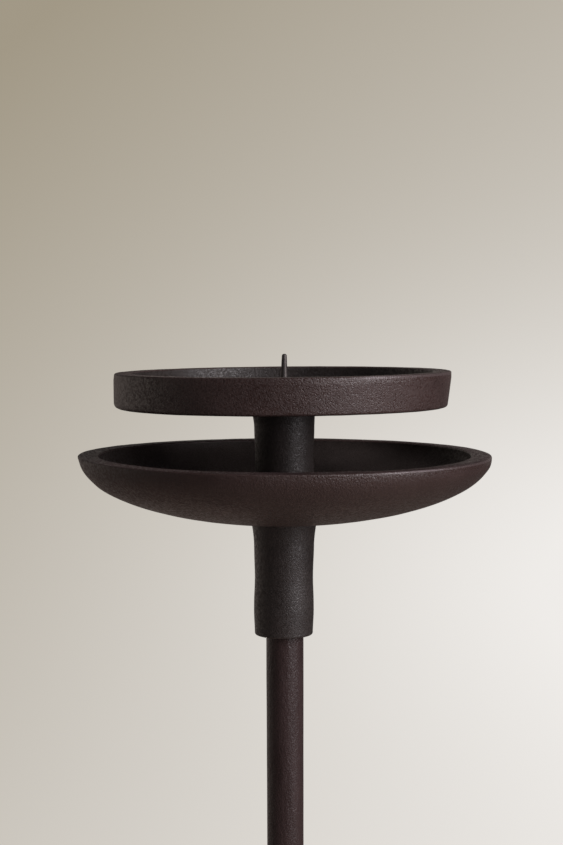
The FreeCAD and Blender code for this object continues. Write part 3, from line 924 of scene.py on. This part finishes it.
def neck(name, node_name, flare, bore, offset, material):
    low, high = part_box(node_name)
    made = lathe(name, neck_section(low.z, high.z, flare, bore), NECK_COLUMNS, True)
    relief(made, CAST_LAYERS, SEEDS[node_name],
           mask=inside_span(low.z, high.z, NECK_WAIST_RADIUS * NECK_RELIEF_SHARE))
    points = coordinates(made)
    share = (points[:, 2] - low.z) / (high.z - low.z)
    at_foot, at_top, at_flare = offset
    points[:, 0] += at_foot + at_top * share + at_flare * flaring(share) ** 2
    put(made, points)
    finish_piece(made, [material], "cast_brown", node_name)


def stem(material):
    line = rounded([
        (STEM_BORE_RADIUS, STEM_BOTTOM_Z, 0, WIDE_GAP),
        (STEM_RADIUS, STEM_BOTTOM_Z, 0, STEM_SIDE_GAP),
        (STEM_RADIUS, STEM_TOP_Z, 0, WIDE_GAP),
        (STEM_BORE_RADIUS, STEM_TOP_Z, 0, BORE_GAP),
    ], True)
    tube = lathe("stem_tube", line, STEM_COLUMNS, True)
    relief(tube, STEM_LAYERS, SEEDS["stem"], lift=STEM_LIFT)
    points = coordinates(tube)
    swell = rising(points[:, 2], *STEM_SWELL_RISE)
    points[:, :2] *= (1 + STEM_SWELL / STEM_RADIUS * swell)[:, None]
    put(tube, points)
    finish_piece(tube, [material], "stem_lacquer", "stem")


def skin(node_name, name, material):
    """A casting's own shape with softened edges and the cast relief."""
    piece = linked(name, frame["nodes"][node_name].data.copy())
    remesh = piece.modifiers.new("remesh", "REMESH")
    remesh.mode = "VOXEL"
    remesh.voxel_size = VOXEL
    smooth = piece.modifiers.new("smooth", "SMOOTH")
    smooth.iterations = SOFTENING_STEPS
    smooth.factor = SOFTENING
    depsgraph = bpy.context.evaluated_depsgraph_get()
    piece.data = bpy.data.meshes.new_from_object(piece.evaluated_get(depsgraph))
    piece.modifiers.clear()
    piece.data.shade_smooth()
    relief(piece, CAST_LAYERS, SEEDS[node_name], lift=SKIN_LIFT)
    finish_piece(piece, [material], "cast_brown", node_name)


def paint_small_parts(finishes):
    for name, cad in frame["nodes"].items():
        for start, finish in SMALL_PARTS.items():
            if name.startswith(start):
                for material_slot in cad.material_slots:
                    material_slot.material = finishes[finish]


# Stage

def floor():
    bpy.ops.mesh.primitive_circle_add(vertices=FLOOR_CORNERS, radius=FLOOR_RADIUS,
                                      fill_type="TRIFAN")
    ground = bpy.context.object
    ground.name = "floor"
    material, tree, surface = shader("floor_paper")
    seen = node(tree, "ShaderNodeLightPath").outputs["Is Camera Ray"]
    give(tree, surface.inputs["Base Color"], blend_colour(tree, seen, FLOOR_LIT, FLOOR_SEEN))
    give(tree, surface.inputs["Emission Color"], FLOOR_GLOW)
    give(tree, surface.inputs["Emission Strength"],
         sums(tree, "MULTIPLY", seen, FLOOR_GLOW_SEEN))
    give(tree, surface.inputs["Roughness"], FLOOR_ROUGHNESS)
    fade = spread(tree, length_of(tree, place_on(tree)), FLOOR_FADE_START, FLOOR_RADIUS)
    clear = node(tree, "ShaderNodeBsdfTransparent").outputs[0]
    mixed = node(tree, "ShaderNodeMixShader", {0: fade, 1: surface.outputs[0], 2: clear})
    tree.links.new(mixed.outputs[0], tree.nodes["Material Output"].inputs["Surface"])
    ground.data.materials.append(material)


def wall_colour(tree, axes):
    """A pale wall, darker up on the left and brightest at a glow on the right."""
    side = kept_within(tree, axes["X"], *WALL_ACROSS)
    rise = kept_within(tree, axes["Z"], *WALL_UP)
    both = sums(tree, "MULTIPLY", side, rise)
    bright = sums(tree, "MULTIPLY_ADD", side, WALL_GAIN_ACROSS, WALL_LEVEL)
    bright = sums(tree, "SUBTRACT", bright, sums(tree, "MULTIPLY", rise, WALL_LOSS_UP))
    bright = sums(tree, "SUBTRACT", bright, sums(tree, "MULTIPLY", both, WALL_LOSS_BOTH))
    far = sums(tree, "ADD", squared(tree, side, *GLOW_ACROSS), squared(tree, rise, *GLOW_UP))
    glow = sums(tree, "EXPONENT", sums(tree, "MULTIPLY", far, -1.0))
    bright = sums(tree, "MULTIPLY_ADD", glow, GLOW_GAIN, bright)
    return blend_colour(tree, bright, WALL_DARK, WALL_LIGHT)


def room_colour(tree, axes):
    """What lights the object: brightest behind it on the left, dim elsewhere."""
    around = sums(tree, "SUBTRACT", axes["Y"], axes["X"])
    room = spread(tree, around, *ROOM_AROUND)
    room = sums(tree, "MULTIPLY", room, spread(tree, axes["Z"], *ROOM_BELOW))
    room = sums(tree, "MULTIPLY", room, spread(tree, axes["Z"], *ROOM_ABOVE))
    return blend_colour(tree, room, ROOM_DARK, ROOM_LIGHT)


def world():
    made = bpy.data.worlds.new("studio")
    bpy.context.scene.world = made
    made.use_nodes = True
    tree = made.node_tree
    place = node(tree, "ShaderNodeTexCoord").outputs["Generated"]
    axes = axes_of(tree, place)
    seen = node(tree, "ShaderNodeLightPath").outputs["Is Camera Ray"]
    colour = blend_colour(tree, seen, room_colour(tree, axes), wall_colour(tree, axes))
    tree.links.new(colour, tree.nodes["Background"].inputs["Color"])


def area_light(name, place, target, width, height, power, colour):
    data = bpy.data.lights.new(name, "AREA")
    data.shape = "RECTANGLE"
    data.size = width
    data.size_y = height
    data.energy = power
    data.color = colour
    lamp = linked(name, data)
    lamp.location = place
    lamp.rotation_mode = "QUATERNION"
    lamp.rotation_quaternion = (Vector(target) - Vector(place)).to_track_quat("-Z", "Y")
    return lamp


def lights():
    area_light("window", *WINDOW)
    fill = area_light("rear_fill", *REAR_FILL)
    fill.visible_camera = False
    fill.visible_glossy = False


def camera():
    data = bpy.data.cameras.new("camera")
    data.sensor_width = SENSOR
    data.lens = SENSOR * FOCAL_PIXELS / PHOTO_HEIGHT
    data.clip_start = CLIP_START
    made = linked("camera", data)
    sideways = (AXIS_COLUMN - PHOTO_WIDTH / 2) / FOCAL_PIXELS * CAMERA_DISTANCE
    pitch = math.atan((PHOTO_HEIGHT / 2 - HORIZON_ROW) / FOCAL_PIXELS)
    made.location = (-sideways, -CAMERA_DISTANCE, RIM_Z + CAMERA_ABOVE_RIM)
    made.rotation_euler = (math.pi / 2 - pitch, ROLL, 0)
    bpy.context.scene.camera = made


metals = {name: cast_metal(name, **look) for name, look in CAST_METALS.items()}
finishes = {name: small_part(name, **look) for name, look in SMALL_FINISHES.items()}
candle_plate(metals["plate_brown"], metals["plate_inside"])
candle_spike(finishes["dark_steel"])
drip_bowl(metals["bowl_brown"], metals["bowl_inside"], metals["bowl_rim"])
neck("upper_neck_casting", "upper_neck", UPPER_NECK_FLARE,
     [(UPPER_BORE_RADIUS, PLATE_BOTTOM_Z), (UPPER_BORE_RADIUS, BOWL_FLOOR_Z)],
     UPPER_NECK_OFFSET, metals["upper_grey"])
neck("lower_neck_casting", "lower_neck", LOWER_NECK_FLARE,
     [(ROD_HOLE_RADIUS, BOWL_BOTTOM_Z), (ROD_HOLE_RADIUS, STEM_TOP_Z),
      (SOCKET_RADIUS, STEM_TOP_Z), (SOCKET_RADIUS, LOWER_NECK_Z)],
     LOWER_NECK_OFFSET, metals["cast_grey"])
stem(lacquered_tube())
skin("tripod_hub", "tripod_hub_casting", metals["cast_grey"])
for leg in ("leg_rear", "leg_left", "leg_right"):
    skin(leg, leg + "_casting", metals["cast_brown"])
paint_small_parts(finishes)
floor()
world()
lights()
camera()
bpy.context.scene.view_settings.view_transform = "Standard"
